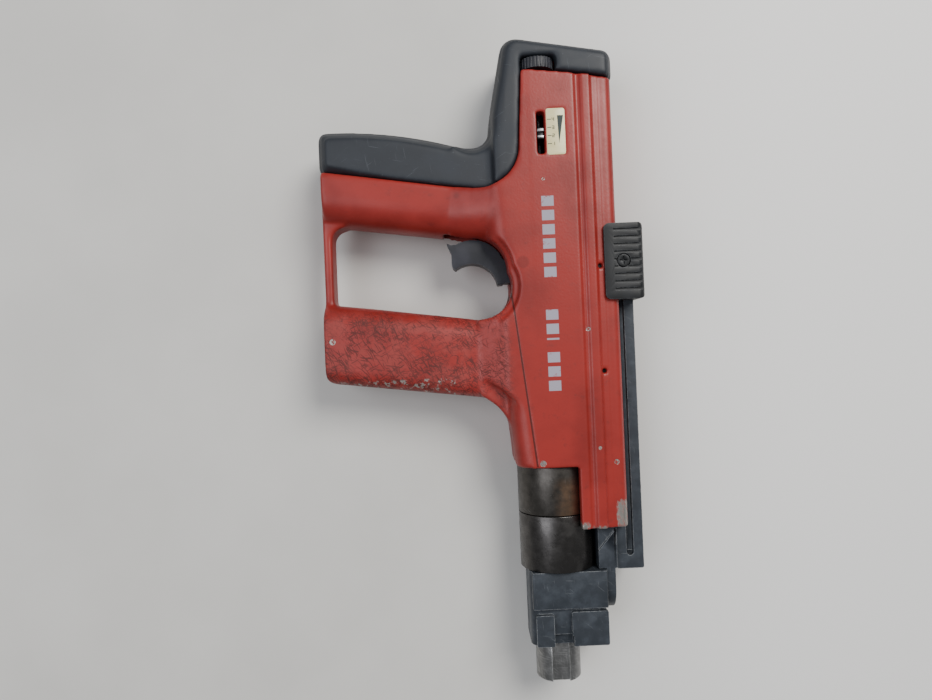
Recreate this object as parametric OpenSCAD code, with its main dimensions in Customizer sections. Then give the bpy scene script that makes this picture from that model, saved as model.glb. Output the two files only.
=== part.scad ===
// Powder-actuated fastening tool lying on its left side.
// Tool axes: x runs across the tool towards its cocking side, y runs back along the barrel from the
// muzzle, z rises out of the tool's right flank. The design's z = 0 is the tool's middle plane, and
// lay() lifts the finished part so that its left flank rests on the ground.

/* [Overall] */
// Length from the muzzle to the back of the pad
overall_len = 390.6; // [390:0.2:391]
// Thickness of the housing across its two flat flanks
body_t = 53; // [52.5:0.5:54]
// Distance from the barrel axis to the housing's cocking side
body_side = 41; // [41:0.5:42]
// Distance from the barrel axis to the outer end of the handles
handle_reach = 137.5; // [136:0.5:139]
// Outer face of the cocking grip, from the barrel axis
grip_out = 56; // [56:0.5:58]

/* [Handles] */
// Thickness of the rear grip and the front arm
handle_t = 35; // [34:0.5:36]
// Backward rake of the rear grip, in degrees
grip_rake = 8; // [7.5:0.5:8.5]
// Backward rake of the front arm, in degrees
arm_rake = 7.5; // [7:0.5:8]
// Width of the rear grip's casting
grip_w = 31.2; // [30:0.2:32]
// Width of the front arm
arm_w = 48.4; // [47.6:0.2:49]
// Thickness of the rubber pad over the rear grip
pad_t = 37; // [36:0.5:38]
// Thickness of the rubber pad over the housing's rear end
cap_t = 51; // [50:0.5:51.5]

/* [Barrel] */
// Radius of the two guide rings
ring_r = 22.8; // [22.4:0.1:22.8]
// Radius of the piston guide behind the rings
guide_r = 19; // [18.5:0.1:19]
// Radius of the piston guide's inner bore
guide_bore_r = 12.5; // [12:0.1:13]
// Radius of the fastener bore
fastener_bore_r = 4.1; // [4.1:0.05:4.3]
// Outer radius of the fastener guide
tip_r = 13.75; // [13.5:0.05:14]
// How far the nose goes in when the tool is pressed on the work
nose_travel = 16; // [14:0.5:16]

/* [Controls] */
// Radius of the power wheel
wheel_r = 10.3; // [10:0.1:10.4]
// Radius of the threaded power spindle
spindle_r = 2.3; // [2.2:0.05:2.3]
// Thickness of the trigger
trigger_t = 13; // [12:0.5:13]
// Width of the slot in each guide rail
rail_slot_w = 4.2; // [4.2:0.1:4.4]

/* [Hidden] */

$fn = 64;
gap = 0.3;
big = 500;

// Housing
half_t = body_t / 2;
band_half_t = half_t - 2.7;
flute_near = 18;
flute_far = 27.7;
band_x = 32;
mouth_y = 135;
leg_y = 98;
leg_x = 12.4;
back_y = 371.8;
back_slope = 6.6;
flank_edge_x = -13.1;
flank_taper = 4.9;
flank_r = 11.3;
core_x = -9;
seam = [-12.3, 136.5];
seam_lean = 6.1;
seam_len = 112;
ring_bore_r = ring_r + gap;
block_y = 71.1;
tip_y = 2.8;
rear_y = tip_y + overall_len;
bracket_x = 27.8;
bracket_end = 33.2;
bracket_t = 16;
spring_seat_y = 180;
strip_y = 205;
strip_len = 13;
strip_t = 9;
breech_y = 212.5;
breech_end_y = 226;
striker_r = 11;
plug_y = 346;
plug_end_y = 356;
core_half_t = 15;

// Handles
grip_x = -83;
grip_y = 295.7;
arm_x = -85;
arm_y = 207.4;
strap_x = -137.2;
strap_w = 5.6;
strap_t = 17;
finger_floor = [-131.6, 238.4];
fillet_c = [-56, 150];
fillet_r = 31;
finger_low_c = [-41.7, 244.3];
finger_low_r = 19.2;

// Trigger
pivot = [-18, 252];
trigger_c = [-45.8, 254.3];
trigger_r = 20.4;
trigger_face_c = [-46.3, 244.2];
trigger_face_r = 16;
trigger_pull = 12;
trigger_slot_t = trigger_t + 1.4;
sear_y = 228.6;
sear_w = 6;

// Rails and cocking grip
rail_x = 35.4;
rail_w = 16.3;
rail_end_y = 69.4;
rail_top_y = 276;
rail_z = 7;
rail_t = 4;
slot_x = rail_x + rail_w / 2;
screw_y = 256.2;
screw_r = 1.9;
knob_x = 32.3;
knob_y = 233.4;
knob_top_y = 278.4;
knob_half_t = half_t - 0.2;
pin_x = 30;
pin_ys = [253.8, 191.2];
pin_r = 1.5;

// Power control
spindle_x = -2.3;
spindle_z = 15.5;
wheel_y = 372.8;
wheel_w = 6.4;
recess_x = [-12.8, 8.5];
recess_y = [371.3, 380];
pointer_y = 333.5;
pointer_slot = [321, 346];
plate = [1, 320, 12.2, 347.6];

// Puts the tool on its left flank, centred on the ground
module lay() {
    translate([(handle_reach - grip_out) / 2, -tip_y - overall_len / 2, half_t]) children();
}

// A section drawn in x and z, drawn out along y
module along_y(y0, y1) {
    translate([0, y1, 0]) rotate([90, 0, 0]) linear_extrude(y1 - y0) children();
}

// A round bar along the barrel's direction
module rod(r, y0, y1, x = 0, z = 0) {
    translate([x, y0, z]) rotate([-90, 0, 0]) cylinder(r = r, h = y1 - y0);
}

// A block between two corners
module block(low, high) {
    translate(low) cube(high - low);
}

// A rectangle between two corners with round corners
module round_rect(low, high, r) {
    translate([low[0] + r, low[1]]) square([high[0] - low[0] - 2 * r, high[1] - low[1]]);
    translate([low[0], low[1] + r]) square([high[0] - low[0], high[1] - low[1] - 2 * r]);
    for (x = [low[0] + r, high[0] - r], y = [low[1] + r, high[1] - r]) translate([x, y]) circle(r);
}

// A bar's section, with one radius on its low side and another on its high side
module bar_section(w, t, low_r, high_r) {
    for (s = [-1, 1]) {
        translate([-w / 2 + low_r, s * (t / 2 - low_r)]) circle(low_r);
        translate([w / 2 - high_r, s * (t / 2 - high_r)]) circle(high_r);
    }
    translate([-w / 2 + low_r, -t / 2]) square([w - low_r - high_r, t]);
    translate([-w / 2, -t / 2 + low_r]) square([w / 2, t - 2 * low_r]);
    translate([0, -t / 2 + high_r]) square([w / 2, t - 2 * high_r]);
}

// Points of an arc about c, from one angle to another
function arc(c, r, a0, a1, n) = [
    for (i = [0:n])
        let (a = a0 + (a1 - a0) * i / n)
        c + r * [cos(a), sin(a)]];

// A coil of round wire along y, from y0 to y1
module coil(r, wire, y0, y1, turns, x = 0, z = 0) {
    steps = turns * 18;
    sides = 6;
    span = y1 - y0 - 2 * wire;
    rings = [for (i = [0:steps], j = [0:sides - 1])
        let (a = 360 * i / 18, b = 360 * j / sides, d = r + wire * cos(b))
        [x + d * cos(a), y0 + wire + span * i / steps + wire * sin(b), z + d * sin(a)]];
    walls = [for (i = [0:steps - 1], j = [0:sides - 1])
        let (a = i * sides, b = a + sides, k = (j + 1) % sides)
        [a + j, b + j, b + k, a + k]];
    start = [[for (j = [0:sides - 1]) j]];
    finish = [[for (j = [sides - 1:-1:0]) steps * sides + j]];
    polyhedron(rings, concat(walls, start, finish), convexity = 8);
}

// The gap between the handles that the fingers go through
module finger_outline() {
    translate(finger_low_c) circle(finger_low_r);
    intersection() {
        translate(trigger_c) circle(trigger_r + 0.7);
        translate([-53, 230]) square([40, 60]);
    }
    polygon(concat(
        [finger_floor, finger_low_c + [-2.6, -19], finger_low_c + [0, 10]],
        [[-53, 260], [-53, 272], [-57, 272], [-62.5, 275.4], [-119.6, 284.6]],
        arc([-123.6, 277.4], 8, 75, 178, 6)));
}

// Steps that round the casting's edge where the fingers go
module finger_rounding() {
    for (s = [[3, 22.8], [2, 24], [1.1, 25], [0.4, 25.8]], side = [-1, 1])
        translate([0, 0, side * (s[1] + 10)]) linear_extrude(20, center = true) {
            translate(finger_low_c) circle(finger_low_r + 1.4 * s[0]);
            intersection() {
                translate(trigger_c) circle(trigger_r + 0.7 + s[0]);
                translate([-53, 230]) square([40, 60]);
            }
        }
}

// Where the trigger swings
module trigger_sweep() {
    swung = pivot + [
        (trigger_c - pivot) * [cos(trigger_pull), sin(trigger_pull)],
        (trigger_c - pivot) * [-sin(trigger_pull), cos(trigger_pull)]];
    translate(trigger_c) circle(trigger_r + 1);
    translate(swung) circle(trigger_r + 1);
    translate([-62.5, 256]) square([18, 26.2]);
    translate(pivot) circle(5.4);
    polygon([[-30, 243], [-14, 247], [-13.6, 258.5], [-20, 265], [-30, 268]]);
    translate(pivot + [-8.5, -19]) square([11, 16]);
}

// The rubber pad's outline, over the back of the grip and round the housing's rear end
module pad_outline(inset = 0) {
    valley_c = [-43.2, 341.2];
    valley_r = 10.7;
    bulge_c = [-130, 79.5];
    bulge_r = 264 - inset;
    outer = handle_reach - 0.2 - inset;
    difference() {
        union() {
            intersection() {
                translate(bulge_c) circle(bulge_r, $fn = 256);
                polygon(concat(
                    [[-outer, 316 + inset]],
                    arc([-outer + 5.5, 338.4], 5.5, 180, 90, 5),
                    [[-43, 348], [-20, 340], [-20, 295]]));
            }
            polygon(concat(
                [[-50, 310], [-33 + inset, 340], [-31.6 + inset, 350]],
                arc([-15.2, rear_y - 9.4], 9.4 - inset, 172, 90, 6),
                arc([36.6, rear_y - 15], 6 - inset, 82, 0, 5),
                [[body_side + 1.6 - inset, 365.4], [0, 340], [-20, 300], [-50, 300]]));
            polygon([[-56, 320], [-56, 331], [-43, 331], [-32.5, 343], [-20, 343], [-20, 320]]);
        }
        translate(valley_c) circle(valley_r + inset);
        // the line where the pad meets the painted casting
        polygon(concat(
            arc([-39, 327.3], 23.5, 0, -98, 14),
            [[-150, 320.8], [-150, 200], [60, 200], [60, 363.2], [8.3, 371], [-12.6, 371.9]]));
    }
}

// The part of the casting that the pad is pressed over
module pad_core() {
    translate([grip_x, grip_y, 0]) rotate([0, 0, -grip_rake])
        block([-44, 0, -9], [46, grip_w / 2 + 14, 9]);
    block([-7, 340, -core_half_t], [35, 385, core_half_t]);
}

module housing_section() {
    translate([core_x, -half_t]) square([band_x - core_x, body_t]);
    round_rect([band_x - 12, -band_half_t], [body_side, band_half_t], 5);
}

module flute_section() {
    for (s = [-1, 1]) scale(s) {
        translate([flute_near, half_t - 1.4]) square([4, 3]);
        translate([flute_far, half_t - 2.2]) square([band_x - flute_far, 4]);
    }
}

// Groove along both flanks where the castings meet
module seam_groove() {
    for (s = [-1, 1]) translate([seam[0], seam[1], s * half_t]) rotate([0, 0, seam_lean])
        along_y(-4, seam_len) rotate(45) square(1.5, center = true);
}

// The painted body with its tapered, rounded finger side
module housing_body() {
    difference() {
        union() {
            along_y(leg_y, 390) difference() {
                housing_section();
                flute_section();
            }
            intersection() {
                translate([flank_edge_x, mouth_y + 2, 0]) rotate([0, 0, flank_taper])
                    along_y(-8, 250) round_rect([-flank_r, -half_t + 0.06], [60, half_t - 0.06], flank_r);
                block([-big, mouth_y, -big], [core_x + 4, big, big]);
            }
        }
        block([-big, 0, -big], [leg_x, mouth_y, big]);
        block([-big, 318, -big], [-25, big, big]);
        seam_groove();
        translate([-big, 0, -big]) cube([2 * big, leg_y, 2 * big]);
        translate([-12.6, back_y, -big]) rotate([0, 0, -back_slope]) translate([-big, 0, 0])
            cube([2 * big, big, 2 * big]);
    }
}

// Draws a section out along the raked grip, from one distance to another
module on_grip(from, to) {
    translate([grip_x, grip_y, 0]) rotate([0, 0, -grip_rake]) rotate([0, 90, 0]) rotate([0, 0, 90])
        translate([0, 0, from]) linear_extrude(to - from) children();
}

module grip_bar() {
    intersection() {
        on_grip(-70, 70) bar_section(grip_w, handle_t, 16.8, 3);
        block([-handle_reach + 1.6, 240, -big], [-20, 340, big]);
    }
}

// The grip swells in slices towards the housing
module grip_neck() {
    intersection() {
        union() for (i = [1:8])
            on_grip(23 + 3.7 * i, 90) translate([15 - 0.15 * i, 0])
                bar_section(grip_w + 30, handle_t + 2.1 * i, handle_t / 2 - 1.3 + 0.7 * i, 3);
        block([-60, 255, -big], [-10, 325, big]);
    }
}

// The sloping neck between the arm's flat and the housing's flank
module neck(x0, y0, y1) {
    high = half_t - 0.4;
    low = handle_t / 2;
    along_y(y0, y1)
        polygon([[x0, -low], [x0, low], [-27, high], [-10, high], [-10, -high], [-27, -high]]);
}

module strap() {
    block([strap_x, 231, -strap_t / 2], [strap_x + strap_w, 300, strap_t / 2]);
}

// Steps that round the edge of the fillet under the front arm
module arm_rounding() {
    for (s = [[10, 17.6], [7, 20], [4.5, 22.3], [2.6, 24.2], [1.1, 25.5]], side = [-1, 1])
        translate([0, 0, side * (s[1] + 10)]) linear_extrude(20, center = true) {
            translate(fillet_c) circle(fillet_r + s[0]);
            translate([-60, 120]) square([60 + fillet_c[0] + fillet_r + s[0], 30]);
        }
}

// Material that the rounded corner of the finger gap is cut from
module strap_fillet() {
    block([strap_x, 268, -strap_t / 2], [strap_x + 14, 288, strap_t / 2]);
}

module arm_shape() {
    intersection() {
        union() {
            translate([arm_x, arm_y, 0]) rotate([0, 0, -arm_rake]) rotate([0, 90, 0]) rotate([0, 0, 90])
                translate([0, 0, -70]) linear_extrude(145) bar_section(arm_w, handle_t, 9, 13.5);
            intersection() {
                neck(-44, 136, 232);
                linear_extrude(body_t, center = true) polygon(concat(
                    [[-44, 179]],
                    arc(fillet_c, fillet_r, 58, 2, 8),
                    [[-24.5, 136], [-10, 136], [-10, 232], [-44, 232]]));
            }
        }
        linear_extrude(big, center = true) union() {
            round_rect([-handle_reach, 189.6], [-90, 260], 5);
            polygon([[-handle_reach + 5, 200], [-handle_reach + 5, 188.5], [-90, 150], [0, 150], [0, 260],
                [-100, 260], [-handle_reach, 255]]);
        }
    }
}

module housing() {
    color("firebrick") lay() difference() {
        union() {
            housing_body();
            grip_bar();
            grip_neck();
            strap();
            strap_fillet();
            pad_core();
        }
        difference() {
            linear_extrude(big, center = true) pad_outline();
            pad_core();
        }
        linear_extrude(big, center = true) finger_outline();
        finger_rounding();
        rod(ring_bore_r, 90, spring_seat_y + 0.5);
        rod(guide_r + gap, 170, breech_y);
        rod(20, breech_y, breech_end_y);
        rod(striker_r, breech_end_y, plug_end_y);
        // way for the cartridge strip, right across
        block([-60, strip_y - strip_len / 2, -strip_t / 2], [60, strip_y + strip_len / 2, strip_t / 2]);
        // room for the nose bracket inside the leg
        block([0, leg_y - 1, -bracket_t - 0.7], [rail_x, 131, bracket_t + 0.7]);
        // weight saving cores behind the breech
        block([16, 262, -20], [28, 350, 20]);
        block([27, 266, -5], [33, 282, 5]);
        // trigger, sear and their pin
        linear_extrude(trigger_slot_t, center = true) trigger_sweep();
        block([-26.2, sear_y - gap, -4.3], [0, sear_y + sear_w + gap, 4.3]);
        translate([pivot[0], pivot[1], -20]) cylinder(r = 2, h = 40);
        rod(3.6, 270, 291, trigger_c[0] + 2);
        // guide rails, their pins and the carriage between them
        for (s = [-1, 1]) block([rail_x, 0, s * (rail_z + rail_t / 2) - rail_t / 2],
            [60, rail_top_y, s * (rail_z + rail_t / 2) + rail_t / 2]);
        for (s = [-1, 1], y = pin_ys) block([26, y - 6, s * (rail_z + rail_t / 2) - rail_t / 2],
            [60, y + 6, s * (rail_z + rail_t / 2) + rail_t / 2]);
        for (y = pin_ys) translate([pin_x, y, -big / 2]) cylinder(r = pin_r, h = big);
        block([32.6, 0, -rail_z], [60, rail_top_y, rail_z]);
        // power control
        rod(spindle_r + gap, 314, 386, spindle_x, spindle_z);
        block([-5.6, pointer_slot[0], 11.9], [1, pointer_slot[1], 20]);
        block([-4.7, pointer_slot[0], 19], [0.1, pointer_slot[1], big]);
        block([recess_x[0], recess_y[0], 4.5], [recess_x[1], recess_y[1], big]);
        translate([0, 0, half_t - 0.6]) linear_extrude(3)
            round_rect([plate[0], plate[1]], [plate[2], plate[3]], 1.5);
    }
}

module front_arm() {
    color("firebrick") lay() difference() {
        arm_shape();
        housing_body();
        seam_groove();
        arm_rounding();
        linear_extrude(big, center = true) finger_outline();
        finger_rounding();
        strap();
        block([-big, strip_y - 9, -7], [-24, strip_y + 9, 7]);
        arm_pin_shapes();
        // hollow behind the guideway
        translate([arm_x, arm_y, 0]) rotate([0, 0, -arm_rake]) block([-44, -20, -10], [44, -17.5, 10]);
    }
}

module cartridge_guide() {
    color("dimgray") lay() difference() {
        block([-handle_reach + 1.5, strip_y - 9, -7], [-31.3, strip_y + 9, 7]);
        block([-big, strip_y - strip_len / 2, -strip_t / 2], [big, strip_y + strip_len / 2, strip_t / 2]);
        block([-111, strip_y, -3.5], [-79, strip_y + 10, 3.5]);
    }
}

module arm_pin_shapes() {
    translate([strap_x + 2.8, 234.4, -7.5]) cylinder(r = 1.25, h = 15);
    for (x = [-112, -62]) translate([x, strip_y - 12, -11]) cylinder(r = 1.75, h = 22);
}

module arm_pins() {
    color("silver") lay() difference() {
        arm_pin_shapes();
        strap();
    }
}

module grip_pad() {
    color("darkslategray") lay() difference() {
        union() {
            // grip side, then the thicker part round the housing
            for (step = [[0, 0.62], [2.4, 0.84], [5, 1]]) intersection() {
                linear_extrude(pad_t * step[1], center = true) pad_outline(step[0]);
                block([-200, 0, -big], [-26, 500, big]);
            }
            for (step = [[0, 0.72], [1.8, 0.9], [4, 1]]) intersection() {
                linear_extrude(cap_t * step[1], center = true) pad_outline(step[0]);
                block([-31, 0, -big], [200, 500, big]);
            }
        }
        pad_core();
        block([recess_x[0], recess_y[0], 4.5], [recess_x[1], recess_y[1], big]);
        rod(spindle_r + gap, 360, 386, spindle_x, spindle_z);
    }
}

module guide_rails() {
    color("dimgray") lay() difference() {
        union() {
            for (s = [-1, 1]) translate([0, 0, s * (rail_z + rail_t / 2)])
                linear_extrude(rail_t, center = true) difference() {
                    union() {
                        round_rect([rail_x, rail_end_y], [rail_x + rail_w, rail_top_y], 1.2);
                        for (y = pin_ys) translate([26.2, y - 5.8]) square([rail_x - 24, 11.6]);
                    }
                    translate([slot_x - rail_slot_w / 2, rail_end_y + 10]) square([rail_slot_w, 186]);
                    translate([slot_x, rail_end_y + 10]) circle(rail_slot_w / 2);
                }
            block(
                [rail_x + 0.8, rail_end_y + 0.4, -rail_z],
                [rail_x + rail_w - 0.8, rail_end_y + 6, rail_z]);
        }
        for (y = pin_ys) translate([pin_x, y, -half_t]) cylinder(r = pin_r, h = body_t);
    }
}

module rail_pins() {
    color("gray") lay() for (y = pin_ys) translate([pin_x, y, -21]) cylinder(r = pin_r, h = 42);
}

module scale_plate() {
    color("ivory") lay() translate([0, 0, half_t - 0.6]) linear_extrude(0.5)
        round_rect([plate[0] + 0.1, plate[1] + 0.1], [plate[2] - 0.1, plate[3] - 0.1], 1.4);
}

module breech_block() {
    color("gray") lay() difference() {
        rod(20, breech_y, breech_end_y);
        rod(2.6, breech_y - 1, breech_end_y + 1);
        rod(9, breech_y + 6, breech_end_y + 1);
    }
}

module rear_plug() {
    color("gray") lay() difference() {
        rod(striker_r, plug_y, plug_end_y);
        rod(3, plug_y - 1, plug_end_y - 4);
    }
}

module trigger_pin() {
    color("silver") lay() translate([pivot[0], pivot[1], -19.5]) cylinder(r = 1.95, h = 39);
}

module piston_guide() {
    color("dimgray") lay() difference() {
        union() {
            rod(guide_r, block_y, 181.5);
            rod(13.9, 52, block_y);
        }
        rod(guide_bore_r, 76, 185);
        rod(fastener_bore_r, 50, 80);
        // exhaust ports
        for (a = [0:60:300]) translate([0, 168, 0]) rotate([0, a, 0]) cylinder(r = 2.5, h = 30);
    }
}

module ring(y0, y1) {
    difference() {
        rod(ring_r, y0, y1);
        rod(guide_r, y0 - 1, y1 + 1);
    }
}

module ring_front() {
    color("dimgray") lay() ring(block_y + gap, 105.2);
}

module ring_rear() {
    color("sienna") lay() ring(105.6, 134.6);
}

module nose_block() {
    color("dimgray") lay() difference() {
        union() {
            along_y(26.5, block_y) round_rect([-19.2, -16.6], [27.5, 16.6], 6);
            along_y(49, block_y) round_rect([-17.7, -19.5], [27.5, 19.5], 1.2);
            // raised faces beside the fastener guide
            for (s = [-1, 1]) translate([0, 0, 18 * s]) {
                linear_extrude(3, center = true) round_rect([-16.3, 26.6], [-5.5, 45.5], 1.2);
                linear_extrude(3, center = true) round_rect([5.2, 26.6], [27.3, 47.2], 1.2);
            }
        }
        rod(10, 26, 50);
        rod(13.9, 52, 80);
        rod(4.6, 49, 53);
        // gauge groove where the fastener guide's flat shows
        for (s = [-1, 1]) block([-5.4, 26, s * 18 - 4], [6, 33, s * 18 + 4]);
        translate([-30, 44, 0]) rotate([0, 90, 0]) cylinder(r = 2, h = 22);
    }
}

module fastener_guide() {
    color("gray") lay() difference() {
        union() {
            translate([-2, 0, 0]) rod(tip_r, tip_y, 26.2);
            rod(9.95, 26.1, 50);
        }
        rod(fastener_bore_r, -1, 51);
        block([-7, -1, 10.8], [3.4, 26.2, 20]);
        translate([-30, 44, 0]) rotate([0, 90, 0]) cylinder(r = 2, h = 22.2);
    }
}

module guide_pin() {
    color("silver") lay() translate([-19, 44, 0]) rotate([0, 90, 0]) cylinder(r = 1.95, h = 11);
}

module nose_bracket() {
    color("dimgray") lay() difference() {
        union() {
            block([bracket_x, 60, -bracket_t], [bracket_end, 112, bracket_t]);
            translate([bracket_x, 60, 0]) rotate([0, 90, 0])
                cylinder(r = bracket_t, h = bracket_end - bracket_x);
            block([23.2, block_y + gap, -bracket_t], [34.6, 112, bracket_t]);
        }
        translate([20, 56, 0]) rotate([0, 90, 0]) cylinder(r = 2.5, h = 20);
        // parting line across the corner
        for (s = [-1, 1]) translate([22.6, 82, s * bracket_t]) rotate([0, 0, 50])
            translate([-3, -0.35, -0.9]) cube([20, 0.7, 1.8]);
    }
}

module bracket_screw() {
    color("silver") lay() union() {
        translate([bracket_x, 56, 0]) rotate([0, 90, 0])
            cylinder(r = 2.45, h = bracket_end - bracket_x + 0.2);
        translate([bracket_end, 56, 0]) rotate([0, 90, 0]) cylinder(r = 4, h = 1.2);
    }
}

module buffer_rings() {
    color("black") lay() for (i = [0:3]) difference() {
        rod(guide_bore_r - 0.1, 76.1 + 4 * i, 79.9 + 4 * i);
        rod(4.6, 70, 100);
    }
}

module guide_catch() {
    color("silver") lay() difference() {
        rod(ring_r - 0.3, 134.9, 137.2);
        rod(guide_r, 130, 140);
    }
}

module piston() {
    color("silver") lay() union() {
        rod(guide_bore_r - gap, 150, 176);
        rod(3.8, 58.6, 151);
    }
}

module firing_pin() {
    color("silver") lay() union() {
        rod(2.2, breech_y + 0.4, 230);
        rod(striker_r - gap, 227, 235);
        rod(7, 234, 300);
        rod(striker_r - gap, 290, 300);
    }
}

module firing_spring() {
    color("silver") lay() coil(8.2, 1.1, 300.1, plug_y - 0.1, 9);
}

module contact_spring() {
    color("silver") lay() coil(20.95, 1.2, 137.4, spring_seat_y + 0.4, 7);
}

module trigger() {
    color("black") lay() difference() {
        union() {
            linear_extrude(trigger_t, center = true) union() {
                difference() {
                    intersection() {
                        translate(trigger_c) circle(trigger_r);
                        translate([-58.4, 246.6]) square([60, 40]);
                    }
                    translate(trigger_face_c) circle(trigger_face_r);
                    polygon([[-70, 200], [-54.8, 200], [-54.8, 256.7], [-56.6, 257.1], [-57.8, 258.2],
                        [-58.4, 260], [-70, 260]]);
                }
                polygon([[-58.4, 267], [-61, 273.2], [-58.6, 272.2], [-54, 272.4], [-54, 266]]);
                translate(pivot) circle(4.6);
                polygon([[-29.4, 249], [-26, 247.4], [-21, 247.3], [-15, 249], [-15.5, 256], [-28.6, 263.2]]);
            }
            // finger that draws the sear back
            linear_extrude(7.6, center = true) translate(pivot + [-1.2, -20.5]) square([2.4, 18]);
        }
        translate([pivot[0], pivot[1], -20]) cylinder(r = 2, h = 40);
    }
}

module trigger_spring() {
    color("silver") lay() coil(2.4, 0.5, 275.3, 290.6, 5, trigger_c[0] + 2);
}

module sear() {
    color("silver") lay() difference() {
        block([-22, sear_y, -4], [-11.3, sear_y + sear_w, 4]);
        block([pivot[0] - 2.2, sear_y + 1.4, -big], [pivot[0] + 2.2, sear_y + big, big]);
    }
}

module power_wheel() {
    teeth = 30;
    color("black") lay() difference() {
        rod(wheel_r, wheel_y, wheel_y + wheel_w, spindle_x, spindle_z);
        rod(spindle_r - 0.05, wheel_y - 1, wheel_y + wheel_w + 1, spindle_x, spindle_z);
        for (i = [0:teeth - 1]) translate([spindle_x, wheel_y - 1, spindle_z]) rotate([0, i * 360 / teeth, 0])
            translate([wheel_r - 0.4, 0, -0.45]) cube([2, wheel_w + 2, 0.9]);
    }
}

module power_spindle() {
    color("silver") lay() union() {
        rod(spindle_r - 0.05, 315, 384.5, spindle_x, spindle_z);
        for (i = [0:11]) rod(spindle_r, 320 + 2.2 * i, 321.1 + 2.2 * i, spindle_x, spindle_z);
    }
}

module power_pointer() {
    color("silver") lay() difference() {
        union() {
            block([-5.3, pointer_y - 4, 12.2], [0.7, pointer_y + 4, 19.4]);
            block([-4.4, pointer_y - 4, 19], [-0.2, pointer_y + 4, half_t - 1.6]);
        }
        rod(spindle_r + gap, 300, 360, spindle_x, spindle_z);
        block([-6, pointer_y - 1.3, half_t - 2.8], [2, pointer_y + 1.3, half_t]);
    }
}

module cocking_grip() {
    color("dimgray") lay() difference() {
        intersection() {
            along_y(knob_y, knob_top_y) round_rect([knob_x - 8, -knob_half_t], [grip_out, knob_half_t], 4.5);
            linear_extrude(big, center = true) round_rect([knob_x, knob_y], [grip_out, knob_top_y], 3.2);
        }
        along_y(knob_y - 1, knob_top_y + 1) {
            translate([0, -band_half_t - gap]) square([body_side + gap, 2 * band_half_t + 2 * gap]);
            translate([0, -rail_z - rail_t - gap])
                square([rail_x + rail_w + gap, 2 * (rail_z + rail_t + gap)]);
        }
        for (s = [-1, 1], i = [0:8]) translate([38, 238.4 + 4.4 * i, s * knob_half_t - 1])
            cube([16.5, 1.6, 2]);
        for (i = [0:8]) translate([grip_out - 0.9, 238.4 + 4.4 * i, -20]) cube([2, 1.6, 40]);
        translate([slot_x, screw_y, -half_t]) cylinder(r = screw_r, h = body_t);
        for (s = [-1, 1]) translate([slot_x, screw_y, s * knob_half_t - 2.4]) cylinder(r = 4.2, h = 4.8);
    }
}

module cocking_screw() {
    color("gray") lay() difference() {
        union() {
            translate([slot_x, screw_y, -24.2]) cylinder(r = screw_r, h = 48.2);
            translate([slot_x, screw_y, knob_half_t - 2.4]) cylinder(r = 3.7, h = 1.9);
        }
        for (a = [0, 90]) translate([slot_x, screw_y, knob_half_t]) rotate([0, 0, a])
            cube([4.6, 0.9, 2.6], center = true);
    }
}

module cocking_nut() {
    color("gray") lay() difference() {
        translate([slot_x, screw_y, -knob_half_t + 0.2]) cylinder(r = 3.9, h = 2.2, $fn = 6);
        translate([slot_x, screw_y, -half_t]) cylinder(r = screw_r, h = 10);
    }
}

module carriage_block() {
    color("gray") lay() difference() {
        block([33, knob_y + 10, -rail_z + gap], [51.9, knob_top_y - 10, rail_z - gap]);
        translate([slot_x, screw_y, -half_t]) cylinder(r = screw_r, h = body_t);
    }
}

// Spring leaf that indexes the cartridge strip
module strip_pawl() {
    color("silver") lay() block([-110.9, strip_y + 6.8, -3.4], [-79.1, strip_y + 8.8, 3.4]);
}

housing();
front_arm();
grip_pad();
guide_rails();
rail_pins();
scale_plate();
cartridge_guide();
breech_block();
rear_plug();
arm_pins();
trigger_pin();
piston_guide();
ring_front();
ring_rear();
nose_block();
fastener_guide();
guide_pin();
nose_bracket();
bracket_screw();
buffer_rings();
guide_catch();
piston();
firing_pin();
firing_spring();
contact_spring();
trigger();
trigger_spring();
sear();
power_wheel();
power_spindle();
power_pointer();
cocking_grip();
cocking_screw();
cocking_nut();
carriage_block();
strip_pawl();
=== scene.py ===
"""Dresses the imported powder-actuated nail gun: castings, rubber pad, steel nose, mouldings and controls."""

import logging
import math
from dataclasses import dataclass, field
from enum import Enum
from typing import Any, Iterable

import bmesh
import bpy
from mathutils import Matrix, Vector


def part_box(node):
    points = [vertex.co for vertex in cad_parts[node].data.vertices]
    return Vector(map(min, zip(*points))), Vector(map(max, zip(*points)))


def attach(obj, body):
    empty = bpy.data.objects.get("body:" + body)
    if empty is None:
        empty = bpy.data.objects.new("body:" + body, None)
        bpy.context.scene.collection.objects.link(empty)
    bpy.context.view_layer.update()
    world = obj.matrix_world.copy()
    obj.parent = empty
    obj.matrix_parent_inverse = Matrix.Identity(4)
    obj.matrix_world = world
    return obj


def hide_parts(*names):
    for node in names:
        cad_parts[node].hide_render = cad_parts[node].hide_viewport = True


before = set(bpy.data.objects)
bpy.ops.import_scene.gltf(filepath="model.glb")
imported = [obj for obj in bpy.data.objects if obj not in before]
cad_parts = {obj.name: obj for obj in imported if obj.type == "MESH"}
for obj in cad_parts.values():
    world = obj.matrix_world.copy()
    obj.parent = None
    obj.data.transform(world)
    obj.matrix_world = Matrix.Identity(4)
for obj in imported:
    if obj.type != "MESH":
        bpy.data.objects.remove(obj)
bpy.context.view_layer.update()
LOG = logging.getLogger("nail_gun")
MM = 0.001
FAR = 900.0  # millimetres; a side this far off leaves a box open on that side
MOST_TRIANGLES = 185_000  # on one cast piece


# ---------------------------------------------------------------- places on the tool


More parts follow.
